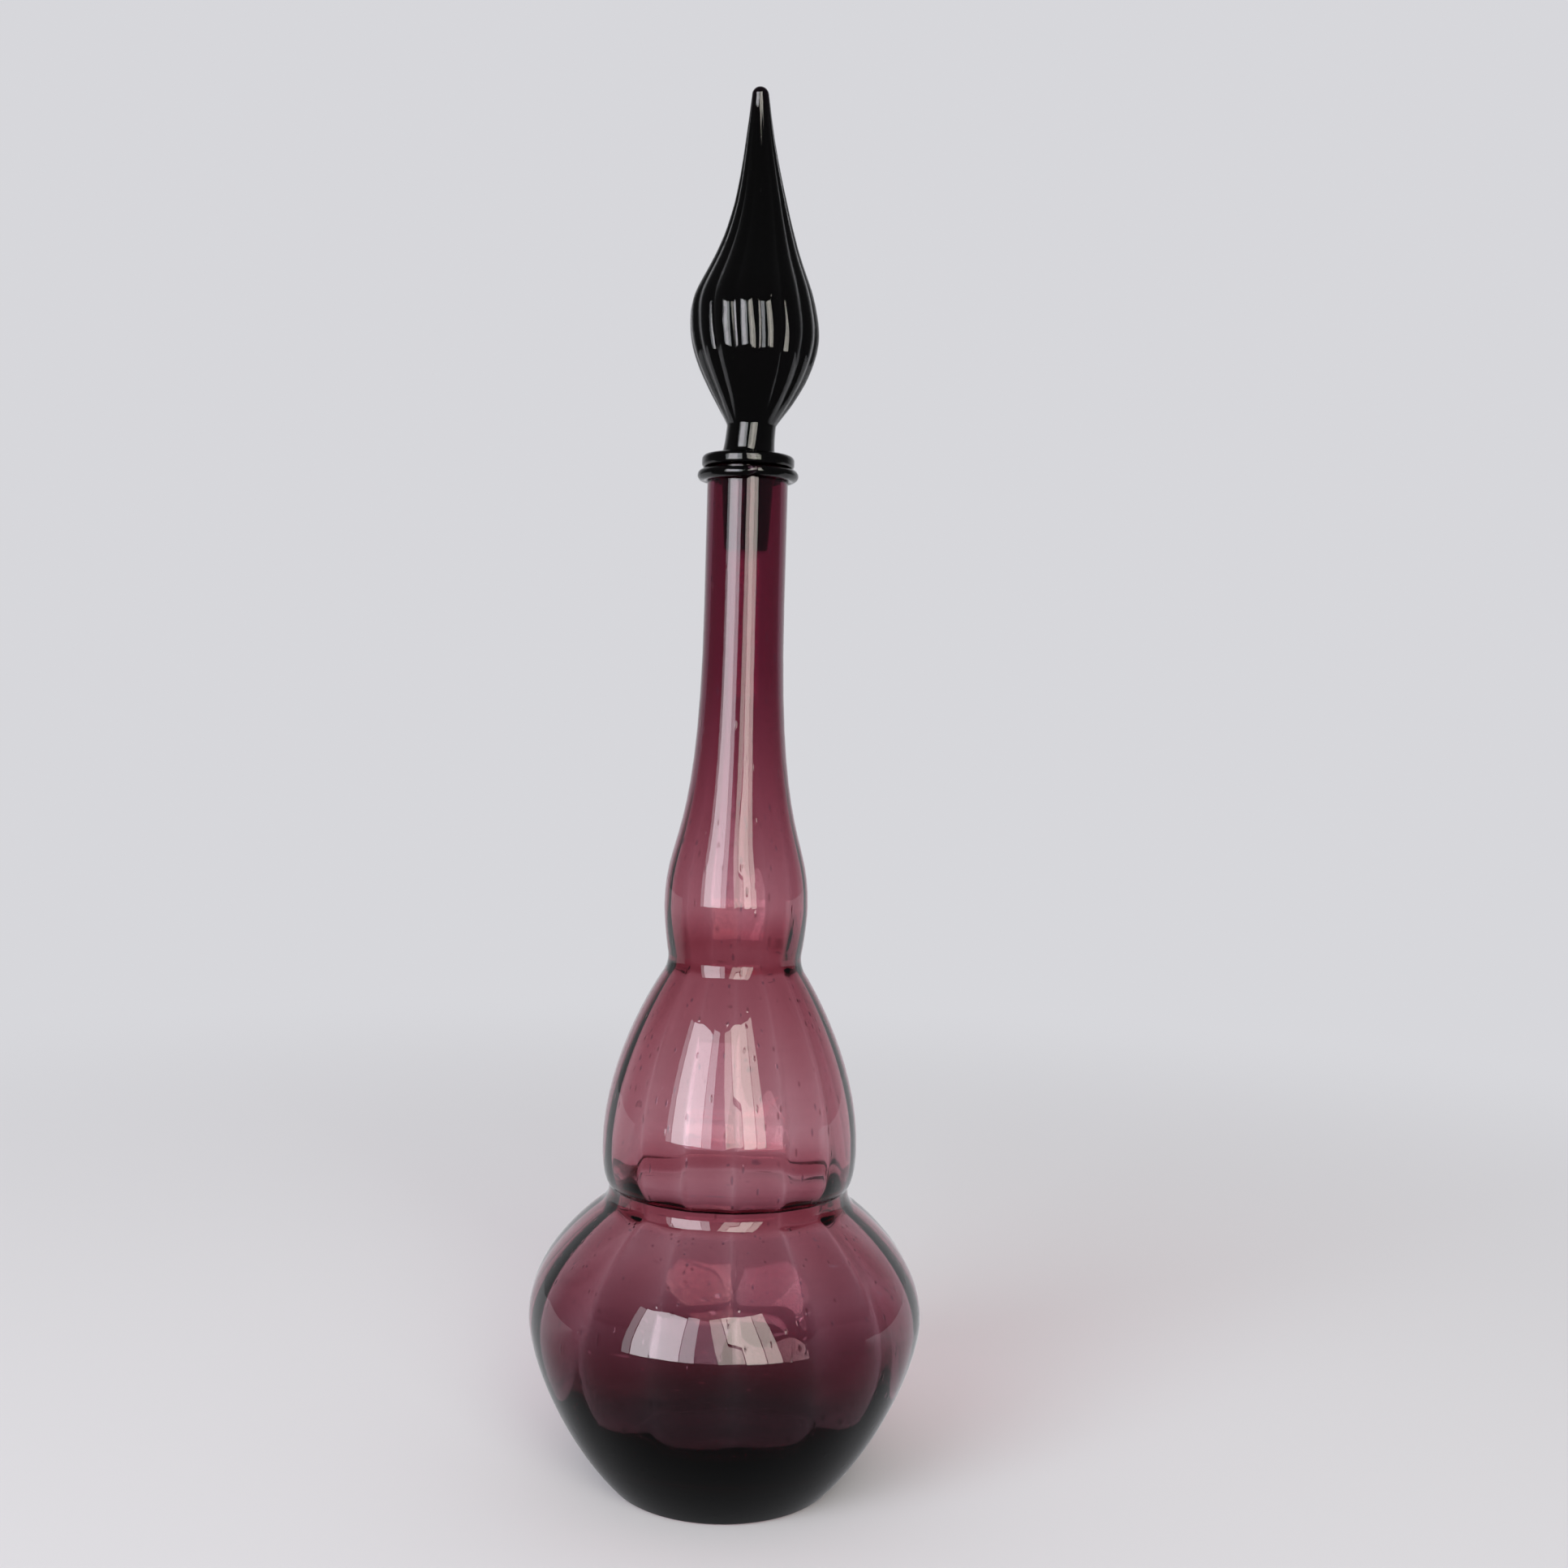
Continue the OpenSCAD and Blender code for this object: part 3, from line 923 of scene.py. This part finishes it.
# A transmitted ray counts as glossy too, so what is only mirrored is the difference
mirror = nodes.new("ShaderNodeMath")
mirror.operation = "SUBTRACT"
mirror.use_clamp = True
links.new(ray.outputs["Is Glossy Ray"], mirror.inputs[0])
links.new(ray.outputs["Is Transmission Ray"], mirror.inputs[1])
split = nodes.new("ShaderNodeSeparateXYZ")
links.new(where, split.inputs[0])
behind = rising(nodes, links, split.outputs["Y"], *BEHIND)
mirrored = mixed(nodes, links, behind, glow(DIM), plain)
made = nodes.new("ShaderNodeOutputMaterial")
links.new(mixed(nodes, links, mirror.outputs[0], seen, mirrored), made.inputs["Surface"])
floor.data.materials.append(pale)
print("floor:", FLOOR_REACH, "m from its middle to its edge")

# %% [markdown]
# ### The room
#
# The world is the backdrop, the dim room and the soft light from all round.
# Which of them a ray meets depends on its kind and on where it goes: the
# Generated coordinates of a world are the way that the ray takes.

# %% Light the room
AMBIENT = 0.5
WHITE = (1, 1, 1)
# Parts of the way to the back and upwards, from where on a ray meets the
# backdrop in a mirror, and the ceiling through the glass
BACKDROP, CEILING = (0.3, 0.95), (0.3, 0.36)

world = bpy.data.worlds.new("studio")
bpy.context.scene.world = world
world.use_nodes = True
nodes, links = world.node_tree.nodes, world.node_tree.links
nodes.clear()


def background(colour, strength):
    node = nodes.new("ShaderNodeBackground")
    node.inputs["Color"].default_value = (*colour, 1)
    node.inputs["Strength"].default_value = strength
    return node.outputs[0]


ray = nodes.new("ShaderNodeLightPath")
way = nodes.new("ShaderNodeSeparateXYZ")
links.new(nodes.new("ShaderNodeTexCoord").outputs["Generated"], way.inputs[0])
# Only what lies right behind the bottle is as pale in a mirror as it is
mirrored = mixed(
    nodes, links, rising(nodes, links, way.outputs["Y"], *BACKDROP),
    background(PALE, DIM), background(PALE, 1),
)
ambient = background(WHITE, AMBIENT)
lit = mixed(nodes, links, ray.outputs["Is Glossy Ray"], ambient, mirrored)
# The floor of the bottle mirrors a dim ceiling
through = mixed(
    nodes, links, rising(nodes, links, way.outputs["Z"], *CEILING),
    background(PALE, 1), background(PALE, DIM),
)
lit = mixed(nodes, links, ray.outputs["Is Transmission Ray"], lit, through)
lit = mixed(nodes, links, ray.outputs["Is Camera Ray"], lit, background(PALE, 1))
made = nodes.new("ShaderNodeOutputWorld")
links.new(lit, made.inputs["Surface"])
print("room:", world.name, len(nodes), "nodes")

# %% [markdown]
# ### Soft boxes
#
# Two tall windows of light stand in front, to the left and to the right of the
# camera. One lamp could light the bottle, but its mirror image would be flat and
# even. A real soft box fades to its sides, so each is three lamps side by side,
# a bright one between two fainter ones. They are placed by the angles at which
# they are seen from the bottle, because that is what its glass mirrors.

# %% Tall soft boxes
BOX_REACH = 3.5
AIM = Vector((0, 0, 0.2))


def soft_box(name, turned, low, high, wide, lean, bright, colour):
    """A tall lamp in front of the bottle; turned, low, high and wide are angles seen from it.

    bright is its power for each square metre, lean how far its top tips to the left.
    """
    low, high = (BOX_REACH * math.tan(math.radians(angle)) for angle in (low, high))
    across = 2 * BOX_REACH * math.tan(math.radians(wide / 2))
    bpy.ops.object.light_add(type="AREA")
    lamp = bpy.context.object
    lamp.name = name
    lamp.data.shape = "RECTANGLE"
    lamp.data.size, lamp.data.size_y = across, high - low
    lamp.data.energy = bright * across * (high - low)
    lamp.data.color = colour
    angle = math.radians(turned)
    way = Vector((math.sin(angle), -math.cos(angle), 0))
    middle = AIM + BOX_REACH * way + Vector((0, 0, (high + low) / 2))
    lamp.matrix_world = (
        Matrix.Translation(middle)
        @ Matrix.Rotation(angle, 4, "Z")
        @ Matrix.Rotation(UPRIGHT, 4, "X")
        @ Matrix.Rotation(math.radians(lean), 4, "Z")
    )
    lamp.visible_camera = False
    print(name, "power, W:", round(lamp.data.energy))


# %% Place them
COOL, LILAC, WARM = (0.93, 0.95, 1.0), (0.97, 0.95, 1.0), (1.0, 0.95, 0.86)
# Name, degrees turned, low, high, wide and leaning, brightness, colour
for box in (
    ("box_left_edge", -52.5, -6, 37, 6, 0, 9, COOL),
    ("box_left", -37, -6, 38, 24, 0, 27, LILAC),
    ("box_left_inner", -19.5, -7, 39, 10, 0, 15, COOL),
    ("box_right_inner", 2, -3, 40, 9, 9, 14, WARM),
    ("box_right", 13.5, -4, 42, 13, 9, 24, WARM),
    ("box_right_edge", 25.5, -4, 43, 10, 9, 17, WARM),
):
    soft_box(*box)

# %% [markdown]
# ## Last
#
# Colours are shown as they are.

# %% Finish
bpy.context.scene.view_settings.view_transform = "Standard"
